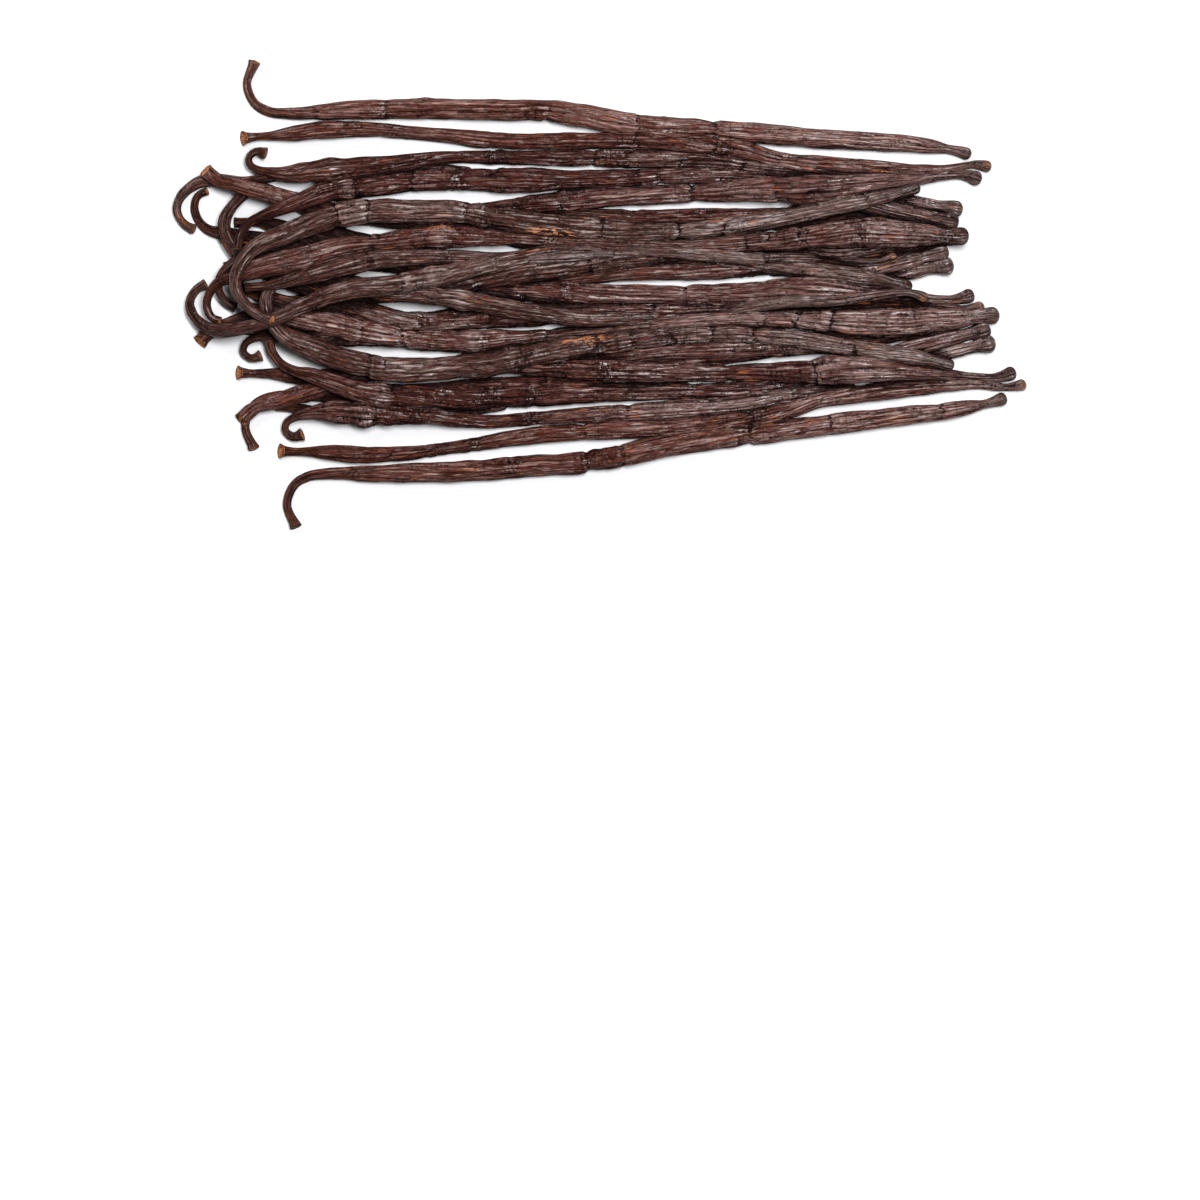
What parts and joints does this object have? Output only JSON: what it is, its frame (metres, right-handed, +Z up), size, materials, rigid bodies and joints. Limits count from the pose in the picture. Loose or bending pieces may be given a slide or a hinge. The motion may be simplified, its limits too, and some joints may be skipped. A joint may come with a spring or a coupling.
{
  "type": "bundle of vanilla pods",
  "caption": "Loose bundle of whole dried vanilla pods lying side by side and across each other, with hooked and curled stem ends at one end and small rounded tips at the other.",
  "frame": {"origin": "bottom centre of the bundle's bounding box", "axes": "+X along the pods towards their tips, +Y across the bundle, +Z up from the table"},
  "size_m": [0.1794, 0.099, 0.0099],
  "materials": {
    "pod_skin": "dark reddish brown to grey brown, wrinkled lengthwise, oily satin",
    "cut_end": "orange brown fibrous cut face, matt"
  },
  "bodies": {
    "root": {"vanilla_pods": "pod_skin"}
  },
  "joints": []
}
